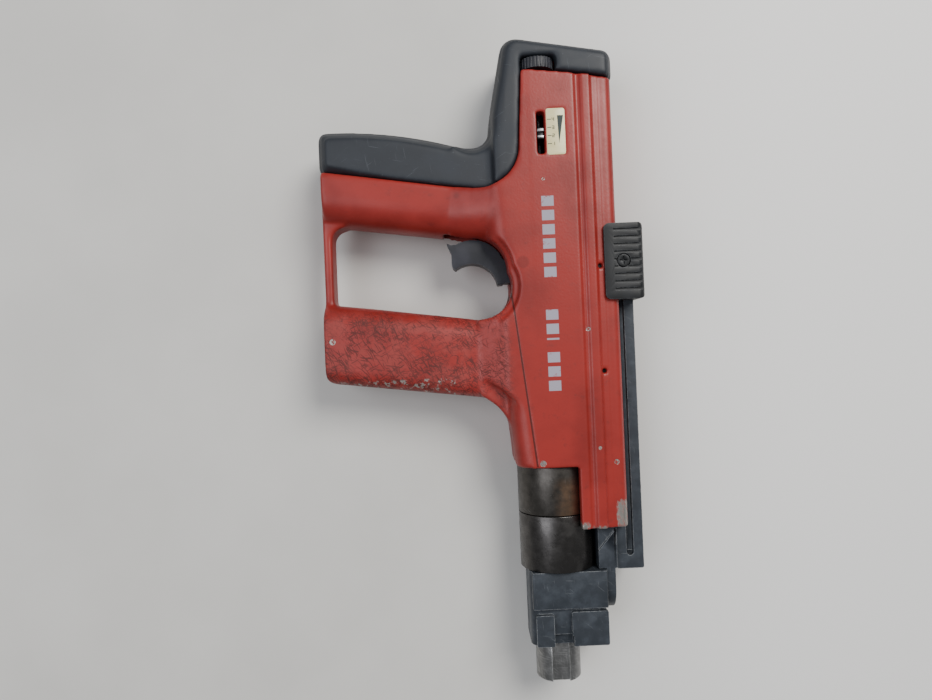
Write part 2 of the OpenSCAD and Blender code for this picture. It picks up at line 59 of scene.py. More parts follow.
class Tool:
    """Turns distances on the tool, in millimetres from the barrel axis and the muzzle, into the row frame."""

    RING_FRONT_MM = 71.4

    def __init__(self) -> None:
        """Finds the barrel axis and the muzzle from the front guide ring."""
        low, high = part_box("ring_front")
        self.axis = (low + high) / 2
        self.muzzle = low.y - self.RING_FRONT_MM * MM

    def at(self, x: float, y: float, z: float) -> Vector:
        """Place a point.

        Args:
            x: Millimetres from the barrel axis towards the cocking side.
            y: Millimetres back from the muzzle.
            z: Millimetres above the tool's middle plane.

        Returns:
            The point in the row frame, in metres.
        """
        return Vector((self.axis.x + x * MM, self.muzzle + y * MM, self.axis.z + z * MM))


TOOL = Tool()


# ---------------------------------------------------------------- finishes


def linear(hex_colour: str) -> tuple[float, float, float, float]:
    """Turn an sRGB hex colour into the linear colour that a shader takes.

    Args:
        hex_colour: Six hex digits, such as "A8322B".

    Returns:
        Red, green, blue and alpha.
    """
    parts = [int(hex_colour[i:i + 2], 16) / 255 for i in (0, 2, 4)]
    line = [c / 12.92 if c <= 0.04045 else ((c + 0.055) / 1.055) ** 2.4 for c in parts]
    return (line[0], line[1], line[2], 1.0)


def add(tree: bpy.types.NodeTree, kind: str, settings: dict[str, Any] | None = None,
        inputs: dict[Any, Any] | None = None) -> bpy.types.Node:
    """Add a shader node with its settings and links.

    Args:
        tree: The material's node tree.
        kind: The node's type name.
        settings: Attributes of the node.
        inputs: Socket name or index to a value, or to the socket that feeds it.

    Returns:
        The new node.
    """
    node = tree.nodes.new(kind)
    for key, value in (settings or {}).items():
        setattr(node, key, value)
    for key, value in (inputs or {}).items():
        if isinstance(value, bpy.types.NodeSocket):
            tree.links.new(value, node.inputs[key])
        else:
            node.inputs[key].default_value = value
    return node


class Graph:
    """A material under construction: its tree, its Principled shader and the object coordinate."""

    def __init__(self, name: str) -> None:
        """Start a material with an output and an empty Principled shader.

        Args:
            name: The material's name.
        """
        self.material = bpy.data.materials.new(name)
        self.material.use_nodes = True
        self.tree = self.material.node_tree
        self.tree.nodes.clear()
        self.shader = add(self.tree, "ShaderNodeBsdfPrincipled")
        add(self.tree, "ShaderNodeOutputMaterial", inputs={"Surface": self.shader.outputs[0]})
        self.place = add(self.tree, "ShaderNodeTexCoord").outputs["Object"]
        self.along = add(self.tree, "ShaderNodeSeparateXYZ", inputs={0: self.place}).outputs

    def noise(self, size_mm: float, detail: float = 3.0, rough: float = 0.55,
              at: bpy.types.NodeSocket | None = None, swirl: float = 0.0) -> bpy.types.NodeSocket:
        """Add a noise whose features are about size_mm across.

        Args:
            size_mm: Feature size in millimetres.
            detail: Octaves.
            rough: Weight of the finer octaves.
            at: Coordinate to use in place of the object's own.
            swirl: How much the pattern is warped.

        Returns:
            The noise value's socket.
        """
        return add(self.tree, "ShaderNodeTexNoise", inputs={
            "Vector": at or self.place, "Scale": 1.0 / (size_mm * MM), "Detail": detail,
            "Roughness": rough, "Distortion": swirl}).outputs[0]

    def band(self, value: bpy.types.NodeSocket, low: float, high: float) -> bpy.types.NodeSocket:
        """Turn a value into a mask that rises from 0 at low to 1 at high, smoothly.

        Args:
            value: The value's socket.
            low: Where the mask is 0.
            high: Where the mask is 1.

        Returns:
            The mask's socket.
        """
        return add(self.tree, "ShaderNodeMapRange", {"interpolation_type": "SMOOTHSTEP"}, {
            "Value": value, "From Min": low, "From Max": high}).outputs[0]

    def maths(self, operation: str, *values: Any, clamp: bool = True) -> bpy.types.NodeSocket:
        """Combine values with a Math node.

        Args:
            operation: The Math node's operation.
            values: Sockets or numbers.
            clamp: Whether the result is held between 0 and 1.

        Returns:
            The result's socket.
        """
        return add(self.tree, "ShaderNodeMath", {"operation": operation, "use_clamp": clamp},
                   dict(enumerate(values))).outputs[0]

    def times(self, *shares: Any) -> Any:
        """Multiply masks.

        Args:
            shares: Masks' sockets or numbers from 0 to 1.

        Returns:
            The product's socket.
        """
        product = shares[0]
        for share in shares[1:]:
            product = self.maths("MULTIPLY", product, share)
        return product

    def either(self, *masks: bpy.types.NodeSocket) -> bpy.types.NodeSocket:
        """Join masks: the largest of them at each point.

        Args:
            masks: The masks' sockets.

        Returns:
            The joined mask's socket.
        """
        joined = masks[0]
        for mask in masks[1:]:
            joined = self.maths("MAXIMUM", joined, mask)
        return joined

    def near(self, low: Vector, high: Vector, soft_mm: float) -> bpy.types.NodeSocket:
        """A mask that is 1 inside a box and fades to 0 outside it; sides that lie FAR off are open.

        Args:
            low: The box's lowest corner.
            high: The box's highest corner.
            soft_mm: Width of the fade in millimetres.

        Returns:
            The mask's socket.
        """
        mask: Any = 1.0
        for index, name in enumerate("XYZ"):
            for side, sign in ((low, 1), (high, -1)):
                if abs(side[index]) < FAR * MM / 2:
                    edge = self.band(self.along[name], side[index] - sign * soft_mm * MM, side[index])
                    mask = self.times(edge, mask)
        return mask

    def spot(self, centre: Vector, radius_mm: float, soft_mm: float) -> bpy.types.NodeSocket:
        """A mask that is 1 within a radius of a point.

        Args:
            centre: The point.
            radius_mm: The radius.
            soft_mm: Width of the fade outside it.

        Returns:
            The mask's socket.
        """
        distance = add(self.tree, "ShaderNodeVectorMath", {"operation": "DISTANCE"},
                       {0: self.place, 1: centre}).outputs["Value"]
        return self.band(distance, (radius_mm + soft_mm) * MM, radius_mm * MM)

    def mix(self, mask: Any, first: Any, second: Any) -> bpy.types.NodeSocket:
        """Mix two colours by a mask.

        Args:
            mask: Share of the second colour.
            first: The first colour or its socket.
            second: The second colour or its socket.

        Returns:
            The colour's socket.
        """
        return add(self.tree, "ShaderNodeMix", {"data_type": "RGBA"},
                   {0: mask, 6: first, 7: second}).outputs[2]

    def blend(self, mask: Any, first: Any, second: Any) -> bpy.types.NodeSocket:
        """Mix two numbers by a mask.

        Args:
            mask: Share of the second number.
            first: The first number or its socket.
            second: The second number or its socket.

        Returns:
            The number's socket.
        """
        return add(self.tree, "ShaderNodeMix", {"data_type": "FLOAT"},
                   {0: mask, 2: first, 3: second}).outputs[0]

    def relief(self, height: bpy.types.NodeSocket, depth_mm: float, strength: float = 1.0,
               under: bpy.types.NodeSocket | None = None) -> bpy.types.NodeSocket:
        """Add a bump.

        Args:
            height: The height's socket, 0 to 1.
            depth_mm: What a height of 1 is worth, in millimetres.
            strength: Share of the bump that shows.
            under: A bump that this one lies on.

        Returns:
            The normal's socket.
        """
        inputs: dict[str, Any] = {"Height": height, "Distance": depth_mm * MM, "Strength": strength}
        if under is not None:
            inputs["Normal"] = under
        return add(self.tree, "ShaderNodeBump", inputs=inputs).outputs[0]

    def scratches(self, angles: Iterable[float], length_mm: float, width_mm: float,
                  share: float) -> bpy.types.NodeSocket:
        """Thin straight scratches in a few directions.

        Args:
            angles: Directions in degrees.
            length_mm: Length of a scratch.
            width_mm: Width of a scratch.
            share: How much of the surface they take, from 0 to 1.

        Returns:
            The scratches' mask.
        """
        found: Any = 0.0
        limit = 0.76 - 0.12 * share
        for index, angle in enumerate(angles):
            turned = add(self.tree, "ShaderNodeMapping", inputs={
                "Vector": self.place, "Rotation": (0.0, 0.0, math.radians(angle)),
                "Location": (0.013 * index, 0.007 * index, 0.0)}).outputs[0]
            grain = add(self.tree, "ShaderNodeMapping", inputs={
                "Vector": turned, "Scale": (1.0, length_mm / width_mm, 1.0)}).outputs[0]
            lines = self.noise(length_mm, 1.0, 0.4, grain)
            found = self.maths("MAXIMUM", self.band(lines, limit, limit + 0.05), found)
        return found

    def crazing(self, size_mm: float, width: float) -> bpy.types.NodeSocket:
        """Fine wandering lines, like scuffs that crossed many times.

        Args:
            size_mm: Distance between lines in millimetres.
            width: Share of that distance that a line takes.

        Returns:
            The lines' mask.
        """
        value = self.noise(size_mm, 4.0, 0.6, swirl=0.9)
        off = self.maths("ABSOLUTE", self.maths("SUBTRACT", value, 0.5, clamp=False))
        return self.band(off, width, width * 0.3)

    def corners(self, reach_mm: float) -> bpy.types.NodeSocket:
        """A mask of the corners, where the surface turns within reach_mm.

        Args:
            reach_mm: How far a corner reaches into the flats beside it.

        Returns:
            The mask's socket.
        """
        rounded = add(self.tree, "ShaderNodeBevel", {"samples": 4}, {"Radius": reach_mm * MM}).outputs[0]
        flat = add(self.tree, "ShaderNodeNewGeometry").outputs["Normal"]
        same = add(self.tree, "ShaderNodeVectorMath", {"operation": "DOT_PRODUCT"}, {0: rounded, 1: flat})
        return self.band(same.outputs["Value"], 0.985, 0.86)

    def finish(self, colour: Any, rough: Any, normal: Any = None, metal: Any = 0.0,
               gloss: float = 0.5) -> bpy.types.Material:
        """Feed the shader.

        Args:
            colour: Base colour or its socket.
            rough: Roughness or its socket.
            normal: The bump's socket.
            metal: Metalness or its socket.
            gloss: Specular level of a non-metal.

        Returns:
            The material.
        """
        feeds = {"Base Color": colour, "Roughness": rough, "Metallic": metal, "Normal": normal,
                 "Specular IOR Level": gloss}
        for key, value in feeds.items():
            if isinstance(value, bpy.types.NodeSocket):
                self.tree.links.new(value, self.shader.inputs[key])
            elif value is not None:
                self.shader.inputs[key].default_value = value
        return self.material


@dataclass(frozen=True)
class RedEnamel:
    """Powder coat on die-cast aluminium: a slightly pebbled red film, rubbed bare on its outermost ridges."""

    name: str = "red_powder_coat"
    colour: str = "982E29"
    deep: str = "81201B"
    faded: str = "96443F"
    bare: str = "A9A6A0"
    soot_and_shade: str = "2C1412"
    paint: str = "A3A3B0"
    seam: tuple[tuple[float, float], ...] = ((-12.3, 136.5), (-23.6, 241.3))
    words: tuple[tuple[float, float], ...] = ((247.0, 297.0), (211.0, 229.0), (179.0, 204.5))
    bar_mm: float = 8.4
    bar_x: tuple[float, float] = (-3.6, 3.4)
    leg_wear: tuple[tuple[float, float, float], ...] = (
        (12.0, 15.0, 100.0), (21.5, 26.0, 98.0), (36.0, 42.0, 112.0))
    chips: tuple[tuple[float, float, float, float], ...] = (
        (20.6, 216.4, 26.5, 1.2), (-27, 160, 22, 1.0), (-132, 215, 17.5, 1.3), (35, 137, 24, 1.1),
        (25, 146, 26, 0.8), (-2, 306, 26.5, 0.7), (-9, 138, 26.5, 1.3))

    def joint(self, g: Graph) -> bpy.types.NodeSocket:
        """Mask the line on each flank where the two castings meet.

        Args:
            g: The material under construction.

        Returns:
            The mask's socket.
        """
        (x0, y0), (x1, y1) = self.seam
        low, high = TOOL.at(x0, y0, 0), TOOL.at(x1, y1, 0)
        lean = (high.x - low.x) / (high.y - low.y)
        on_line = g.maths("MULTIPLY_ADD", g.along["Y"], lean, low.x - lean * low.y, clamp=False)
        off = g.maths("SUBTRACT", g.along["X"], on_line, clamp=False)
        gap = g.maths("ABSOLUTE", off, clamp=False)
        run = g.near(TOOL.at(-FAR, y0, -FAR), TOOL.at(FAR, y1, FAR), 1.0)
        return g.times(g.band(gap, 0.75 * MM, 0.35 * MM), run)

    def bars(self, g: Graph) -> bpy.types.NodeSocket:
        """Mask plain painted bars on the right flank, where such tools carry their lettering.

        Args:
            g: The material under construction.

        Returns:
            The mask's socket.
        """
        start = TOOL.at(0, self.words[0][1], 0).y
        down = g.maths("SUBTRACT", start, g.along["Y"], clamp=False)
        cycle = g.maths("MODULO", down, self.bar_mm * MM, clamp=False)
        stripe = g.times(g.band(cycle, 0.9 * MM, 1.2 * MM),
                         g.band(cycle, (self.bar_mm - 1.2) * MM, (self.bar_mm - 1.5) * MM))
        left, right = self.bar_x
        groups = [g.near(TOOL.at(left, y0, 25.8), TOOL.at(right, y1, FAR), 0.25) for y0, y1 in self.words]
        rubbed = g.band(g.noise(4.0, 5.0, 0.7), 0.30, 0.42)
        return g.times(g.either(*groups), stripe, rubbed)

    def worn_ends(self, g: Graph) -> bpy.types.NodeSocket:
        """Mask the bare metal: ridges at the leg's end, the arm's front edge and a few chips.

        Args:
            g: The material under construction.

        Returns:
            The mask's socket.
        """
        patches = [g.near(TOOL.at(x0, 90, -FAR), TOOL.at(x1, y1, FAR), 9.0) for x0, x1, y1 in self.leg_wear]
        drawn = add(g.tree, "ShaderNodeMapping", inputs={
            "Vector": g.place, "Scale": (1.7, 0.7, 1.7)}).outputs[0]
        ragged = g.noise(4.2, 7.0, 0.72, drawn)
        total = g.times(g.either(*patches), 0.58)
        worn = g.band(g.maths("ADD", total, g.times(ragged, 0.6)), 0.76, 0.90)
        edge = g.times(g.near(TOOL.at(-130, 172, 8), TOOL.at(-60, 189.5, 17.3), 1.6),
                       g.band(g.noise(5.0, 6.0, 0.7), 0.54, 0.60))
        jagged = g.band(g.noise(1.5, 4.0, 0.7), 0.42, 0.50)
        dots = [g.spot(TOOL.at(x, y, z), r * 0.6, 1.4 * r) for x, y, z, r in self.chips]
        return g.either(worn, edge, g.times(g.band(g.either(*dots), 0.25, 0.5), jagged))

    def make(self) -> bpy.types.Material:
        """Build the material.

        Returns:
            The material.
        """
        g = Graph(self.name)
        broad = g.noise(34.0, 4.0)
        colour = g.mix(g.band(broad, 0.35, 0.7), linear(self.colour), linear(self.deep))
        # the arm's flats are dulled and scratched through handling
        on_arm = g.near(TOOL.at(-FAR, 172, -FAR), TOOL.at(-32, 226, FAR), 12.0)
        dull = g.times(g.band(g.noise(15.0, 6.0, 0.65), 0.42, 0.66), on_arm)
        colour = g.mix(g.times(dull, 0.4), colour, linear(self.faded))
        patchy = g.band(g.noise(24.0, 3.0, 0.5), 0.34, 0.56)
        crossed = g.times(g.crazing(4.6, 0.034), g.times(patchy, on_arm))
        worked = g.times(on_arm, g.band(g.noise(18.0, 3.0, 0.5), 0.36, 0.52))
        rubbed = g.times(g.scratches((12.0, 41.0, -28.0, 74.0, 58.0), 8.0, 0.7, 1.1), worked)
        grime = g.times(g.band(g.noise(6.0, 7.0, 0.75), 0.56, 0.70), 0.35)
        fine = g.times(g.scratches((15.0, 95.0), 14.0, 0.3, 0.1), 0.35)
        marks = g.either(crossed, rubbed, grime, fine)
        # painted shade: the disc at the trigger pin's flush end is darkened where its shallow groove would
        # shade; the small spot beside the arm is a real stain
        stain_and_pin_shade = g.either(g.spot(TOOL.at(-16.0, 257.5, 26.5), 3.0, 1.2),
                          g.spot(TOOL.at(-54, 300, 20), 1.4, 1.8))
        colour = g.mix(g.times(stain_and_pin_shade, 0.28), colour, linear(self.soot_and_shade))
        colour = g.mix(g.times(marks, 0.7), colour, linear(self.soot_and_shade))
        seam = self.joint(g)
        colour = g.mix(g.times(seam, 0.75), colour, linear(self.soot_and_shade))
        painted = self.bars(g)
        colour = g.mix(g.times(painted, 0.9), colour, linear(self.paint))
        metal = self.worn_ends(g)
        colour = g.mix(metal, colour, linear(self.bare))
        rough = g.blend(g.band(broad, 0.3, 0.7), 0.34, 0.44)
        rough = g.blend(g.either(marks, dull, painted), rough, 0.6)
        normal = g.relief(g.noise(1.3, 2.0, 0.5), 0.10, 0.5)
        normal = g.relief(g.either(metal, seam), -0.12, 0.8, normal)
        return g.finish(colour, rough, normal, g.times(metal, 0.9), gloss=0.42)


@dataclass(frozen=True)
class MouldedRubber:
    """Moulded slate rubber: dull, with a fine spark-eroded grain and a faint bloom where hands rub it."""

    name: str = "moulded_slate_rubber"
    colour: str = "23272E"
    rubbed: str = "30353D"

    def make(self) -> bpy.types.Material:
        """Build the material.

        Returns:
            The material.
        """
        g = Graph(self.name)
        bloom = g.band(g.noise(22.0, 5.0, 0.6), 0.42, 0.72)
        colour = g.mix(g.times(bloom, 0.5), linear(self.colour), linear(self.rubbed))
        marks = g.times(g.scratches((12.0, 81.0, -33.0), 16.0, 0.4, 0.12), 0.4)
        dust = g.times(g.band(g.noise(1.1, 2.0), 0.72, 0.76), 0.35)
        colour = g.mix(g.either(marks, dust), colour, linear("6E747C"))
        rough = g.blend(bloom, 0.50, 0.60)
        return g.finish(colour, rough, g.relief(g.noise(0.55, 2.0), 0.05, 0.5), gloss=0.45)


@dataclass(frozen=True)
class Steel:
    """Steel in one of its treatments: a dark phosphate or blued skin that wears bright along the corners."""

    name: str
    skin: str
    bright: str = "8F9090"
    roughness: float = 0.42
    metallic: float = 0.75
    worn: float = 0.55
    reach_mm: float = 0.5
    scored: float = 0.1
    turned: bool = False

    def tint(self, g: Graph, colour: Any) -> Any:
        """Give subclasses a place to stain the skin.

        Args:
            g: The material under construction.
            colour: The skin's colour.

        Returns:
            The colour's socket.
        """
        return colour

    def make(self) -> bpy.types.Material:
        """Build the material.

        Returns:
            The material.
        """
        g = Graph(self.name)
        skin = linear(self.skin)
        lighter = tuple(min(1.0, c * 1.6 + 0.006) for c in skin[:3]) + (1.0,)
        colour = self.tint(g, g.mix(g.band(g.noise(9.0, 5.0, 0.65), 0.38, 0.78), skin, lighter))
        rubbed = g.times(g.corners(self.reach_mm), g.band(g.noise(2.6, 5.0, 0.7), 0.36, 0.56))
        marks = g.times(g.scratches((4.0, 84.0, 40.0), 12.0, 0.25, self.scored), 0.45)
        bright = g.either(g.times(rubbed, self.worn), marks)
        colour = g.mix(bright, colour, linear(self.bright))
        uneven = g.band(g.noise(5.0, 4.0, 0.7), 0.3, 0.7)
        rough = g.blend(uneven, self.roughness - 0.06, self.roughness + 0.08)
        grain = g.noise(0.6, 3.0)
        if self.turned:
            stretched = add(g.tree, "ShaderNodeMapping", inputs={
                "Vector": g.place, "Scale": (0.08, 1.0, 0.08)}).outputs[0]
            grain = g.noise(0.3, 3.0, at=stretched)
        return g.finish(colour, rough, g.relief(grain, 0.02, 0.4), self.metallic)


@dataclass(frozen=True)
class StainedSteel(Steel):
    """Blued steel with an oily brown stain on one side, where heat and residue reach it."""

    stain: str = "8A6E58"

    def tint(self, g: Graph, colour: Any) -> Any:
        """Stain the skin towards the cocking side, below the middle.

        Args:
            g: The material under construction.
            colour: The skin's colour.

        Returns:
            The colour's socket.
        """
        zone = g.near(TOOL.at(4, 104, -FAR), TOOL.at(40, 121, FAR), 9.0)
        ragged = g.band(g.noise(11.0, 4.0, 0.6), 0.30, 0.62)
        return g.mix(g.times(zone, ragged, 0.8), colour, linear(self.stain))


@dataclass(frozen=True)
class BandedPointer(Steel):
    """Blackened steel pointer with two bright turned bands."""

    bands: tuple[float, float] = (331.9, 335.4)

    def tint(self, g: Graph, colour: Any) -> Any:
        """Brighten two bands across the pointer.

        Args:
            g: The material under construction.
            colour: The skin's colour.

        Returns:
            The colour's socket.
        """
        bands = [g.near(TOOL.at(-FAR, y - 0.5, -FAR), TOOL.at(FAR, y + 0.5, FAR), 0.4) for y in self.bands]
        return g.mix(g.either(*bands), colour, linear("A9ABAE"))


@dataclass(frozen=True)
class Moulding:
    """Glass-filled nylon: near-black, with a fine eroded grain that polishes on the crests."""

    name: str
    colour: str
    polished: str
    roughness: float = 0.45
    gloss: float = 0.4
    worn: float = 0.35

    def make(self) -> bpy.types.Material:
        """Build the material.

        Returns:
            The material.
        """
        g = Graph(self.name)
        crest = g.times(g.corners(0.5), g.band(g.noise(2.5, 5.0, 0.65), 0.38, 0.6))
        colour = g.mix(g.band(g.noise(12.0, 4.0), 0.35, 0.75), linear(self.colour), linear(self.polished))
        colour = g.mix(g.times(crest, self.worn), colour, linear("77797D"))
        rough = g.blend(g.noise(6.0, 4.0), self.roughness - 0.08, self.roughness + 0.12)
        return g.finish(colour, rough, g.relief(g.noise(0.45, 2.0), 0.04, 0.5), gloss=self.gloss)


@dataclass(frozen=True)
class Lacquer:
    """Printed plate or ink under clear lacquer: an even, slightly yellowed gloss with fine handling marks."""

    name: str
    colour: str
    aged: str
    roughness: float = 0.3

    def make(self) -> bpy.types.Material:
        """Build the material.

        Returns:
            The material.
        """
        g = Graph(self.name)
        colour = g.mix(g.band(g.noise(6.0, 4.0), 0.4, 0.8), linear(self.colour), linear(self.aged))
        marks = g.scratches((20.0, 75.0), 8.0, 0.2, 0.15)
        colour = g.mix(g.times(marks, 0.25), colour, linear("8C8674"))
        return g.finish(colour, g.blend(marks, self.roughness, 0.6), g.relief(g.noise(0.8, 2.0), 0.02, 0.4))


class Skin(Enum):
    """The finishes that this tool wears, by slot."""

    RED = "red_enamel"
    PAD = "pad_rubber"
    PHOSPHATE = "phosphated_steel"
    BLUED = "blued_steel"
    GROUND = "ground_steel"
    SPRING = "spring_steel"
    NYLON = "black_nylon"
    GRIP = "grip_casting"
    CARD = "scale_card"
    POINTER = "pointer_metal"
    BUFFER = "buffer_rubber"


class Finishes:
    """Every finish, made once and kept by slot."""

    def __init__(self) -> None:
        """Build the materials."""
        self.made: dict[Skin, bpy.types.Material] = {
            Skin.RED: RedEnamel().make(),
            Skin.PAD: MouldedRubber().make(),
            Skin.PHOSPHATE: Steel("phosphated_steel", "353A41", "A5A7AA", 0.46, 0.3, 0.85, 0.8).make(),
            Skin.BLUED: Steel("blued_steel", "464443", roughness=0.30, metallic=0.9, worn=0.3,
                              turned=True).make(),
            Skin.GROUND: Steel("ground_steel", "7E7F80", "C4C4C2", 0.32, 1.0).make(),
            Skin.SPRING: Steel("oiled_spring_steel", "6B6C6E", "B0B0B0", 0.30, 1.0).make(),
            Skin.NYLON: Moulding("black_nylon", "26272D", "30313A", 0.42, 0.4).make(),
            Skin.GRIP: Moulding("worn_grip_moulding", "121417", "1B1D21", 0.46, 0.4, 0.6).make(),
            Skin.CARD: Lacquer("cream_scale_card", "E9DFAE", "DACD96").make(),
            Skin.POINTER: BandedPointer("banded_pointer", "1D1D1F", roughness=0.35, metallic=0.8).make(),
            Skin.BUFFER: Moulding("buffer_rubber", "101112", "1A1B1C", 0.6).make(),
        }
        self.stained = StainedSteel("stained_blued_steel", "43403D", roughness=0.33, metallic=0.85, worn=0.3,
                                    turned=True).make()
        self.bare = Steel("scraped_bare_steel", "747474", "D2D2D0", 0.36, 0.9, 0.95, 1.1, 0.9).make()
        # blackened steel for the cocking screw; the rail pins also take it, as painted shade in their holes
        self.blackened_and_hole_shade = Steel("blackened_screw_and_hole_shade", "232426", roughness=0.4, metallic=0.7, worn=0.5,
                               reach_mm=0.25).make()
        self.ink = Lacquer("dark_green_ink", "0E2421", "153430", 0.5).make()

    def dress(self, piece: bpy.types.Object, skin: Skin, material: bpy.types.Material | None = None) -> None:
        """Give a piece its finish.

        Args:
            piece: The object.
            skin: The record's slot.
            material: A variant to use in place of the slot's own finish.
        """
        piece.data.materials.clear()
        piece.data.materials.append(material or self.made[skin])


# ---------------------------------------------------------------- mesh work


def link(name: str, form: bmesh.types.BMesh) -> bpy.types.Object:
    """Make an object of a finished bmesh and free it.

    Args:
        name: The object's name.
        form: The shape.

    Returns:
        The object, in the scene, at the origin.
    """
    mesh = bpy.data.meshes.new(name)
    form.to_mesh(mesh)
    form.free()
    piece = bpy.data.objects.new(name, mesh)
    bpy.context.scene.collection.objects.link(piece)
    return piece


def smooth(piece: bpy.types.Object, angle: float) -> None:
    """Shade a piece smooth, apart from edges sharper than an angle.

    Args:
        piece: The object.
        angle: The angle in degrees.
    """
    piece.data.polygons.foreach_set("use_smooth", [True] * len(piece.data.polygons))
    piece.data.set_sharp_from_angle(angle=math.radians(angle))


def cad_copy(*nodes: str) -> bmesh.types.BMesh:
    """Copy CAD nodes' meshes into one, with loose triangles merged.

    Args:
        nodes: The nodes' names.

    Returns:
        The merged mesh.
    """
    form = bmesh.new()
    for node in nodes:
        form.from_mesh(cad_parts[node].data)
    bmesh.ops.remove_doubles(form, verts=form.verts, dist=0.00001)
    return form


def settle(piece: bpy.types.Object) -> None:
    """Apply a piece's modifiers to its mesh.

    Args:
        piece: The object.
    """
    depsgraph = bpy.context.evaluated_depsgraph_get()
    mesh = bpy.data.meshes.new_from_object(piece.evaluated_get(depsgraph), depsgraph=depsgraph)
    piece.modifiers.clear()
    old = piece.data
    piece.data = mesh
    bpy.data.meshes.remove(old)


# ---------------------------------------------------------------- the tool's pieces


@dataclass(frozen=True)
class Zone:
    """A box on the tool, between two corners in millimetres."""

    low: tuple[float, float, float]
    high: tuple[float, float, float]

    def holds(self, point: Vector) -> bool:
        """Tell whether a point lies in the box.

        Args:
            point: The point in the row frame.

        Returns:
            True inside the box.
        """
        low, high = TOOL.at(*self.low), TOOL.at(*self.high)
        return all(low[i] <= point[i] <= high[i] for i in range(3))


@dataclass
class SubAssembly:
    """A group of pieces that ride on one CAD body."""

    body: str
    finishes: Finishes

    def place(self, piece: bpy.types.Object, skin: Skin, *nodes: str,
              material: bpy.types.Material | None = None) -> None:
        """Dress a piece, let it stand for its CAD nodes and set it on the body.

        Args:
            piece: The piece.
            skin: The record's slot.
            nodes: The CAD nodes that it replaces; none for added detail.
            material: A variant of the slot's finish.
        """
        self.finishes.dress(piece, skin, material)
        if nodes:
            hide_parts(*nodes)
        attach(piece, self.body)
        LOG.info("%s on %s: %d faces", piece.name, self.body, len(piece.data.polygons))

    def cast(self, name: str, nodes: tuple[str, ...], grain_mm: float, passes: int, soft_passes: int,
             soft_x_mm: float, firm: tuple[Zone, ...] = ()) -> bpy.types.Object:
        """Skin CAD nodes with one even mesh and let its corners flow, as in a mould.

        Args:
            name: The piece's name.
            nodes: The CAD nodes.
            grain_mm: Size of the mesh.
            passes: Smoothing passes everywhere.
            soft_passes: More passes on the finger side.
            soft_x_mm: Where the finger side begins.
            firm: Boxes where moving pieces run, which keep their corners.

        Returns:
            The piece.
        """
        piece = link(name, cad_copy(*nodes))
        skinning = piece.modifiers.new("skinning", "REMESH")
        skinning.mode = "VOXEL"
        skinning.voxel_size = grain_mm * MM * 1.0
        settle(piece)
        form = bmesh.new()
        form.from_mesh(piece.data)
        border = TOOL.at(soft_x_mm, 0, 0).x
        free = [v for v in form.verts if not any(zone.holds(v.co) for zone in firm)]
        soft = [v for v in free if v.co.x < border]
        for verts, count in ((free, passes), (soft, soft_passes)):
            for _ in range(count):
                bmesh.ops.smooth_vert(form, verts=verts, factor=0.5, use_axis_x=True, use_axis_y=True,
                                      use_axis_z=True)
        form.to_mesh(piece.data)
        form.free()
        triangles = 2 * len(piece.data.polygons)
        if triangles > MOST_TRIANGLES:
            thin = piece.modifiers.new("thin", "DECIMATE")
            thin.ratio = MOST_TRIANGLES / triangles
            settle(piece)
        smooth(piece, 180.0)
        return piece

    def machine(self, node: str, name: str, break_mm: float, segments: int = 3,
                angle: float = 28.0) -> bpy.types.Object:
        """Copy a CAD node and break its sharp corners with a small bevel.

        Args:
            node: The CAD node.
            name: The piece's name.
            break_mm: Width of the bevel.
            segments: Steps across the bevel.
            angle: Corners sharper than this, in degrees, are broken.

        Returns:
            The piece.
        """
        form = cad_copy(node)
        bmesh.ops.dissolve_limit(form, angle_limit=math.radians(1.0), verts=form.verts, edges=form.edges)
        sharp = [e for e in form.edges if e.is_manifold and e.calc_face_angle(0.0) > math.radians(angle)]
        bmesh.ops.bevel(form, geom=sharp, offset=break_mm * MM, segments=segments, profile=0.5,
                        affect="EDGES", clamp_overlap=True, material=-1)
        bmesh.ops.triangulate(form, faces=[f for f in form.faces if len(f.verts) > 4])
        piece = link(name, form)
        smooth(piece, 35.0)
        return piece

    def bar(self, form: bmesh.types.BMesh, low: Vector, high: Vector) -> None:
        """Add a thin flat bar between two corners to a shape.

        Args:
            form: The shape.
            low: The lowest corner.
            high: The highest corner.
        """
        ring = [form.verts.new((x, y, low.z)) for x, y in (
            (low.x, low.y), (high.x, low.y), (high.x, high.y), (low.x, high.y))]
        base = form.faces.new(ring)
        top = bmesh.ops.extrude_face_region(form, geom=[base])
        lifted = [v for v in top["geom"] if isinstance(v, bmesh.types.BMVert)]
        bmesh.ops.translate(form, verts=lifted, vec=(0.0, 0.0, high.z - low.z))


@dataclass
class Castings(SubAssembly):
    """The two red castings, which meet along the seam on each flank."""

    grain_mm: float = 0.8
    passes: int = 3
    soft_passes: int = 14
    soft_x_mm: float = -15.0
    trigger_slot: Zone = Zone((-70, 226, -9), (-8, 285, 9))
    pointer_slot: Zone = Zone((-9, 317, 8), (4, 350, 25))

    def build(self) -> None:
        """Build the castings."""
        shell = self.cast("red_castings", ("housing", "front_arm"), self.grain_mm, self.passes,
                          self.soft_passes, self.soft_x_mm, (self.trigger_slot, self.pointer_slot))
        self.place(shell, Skin.RED, "housing", "front_arm")


@dataclass
class RubberPad(SubAssembly):
    """The soft pad over the back of the grip and round the housing's rear end."""

    grain_mm: float = 0.9
    passes: int = 14
    soft_passes: int = 10
    soft_x_mm: float = -24.0

    def build(self) -> None:
        """Build the pad."""
        pad = self.cast("rubber_pad", ("grip_pad",), self.grain_mm, self.passes, self.soft_passes,
                        self.soft_x_mm)
        self.place(pad, Skin.PAD, "grip_pad")


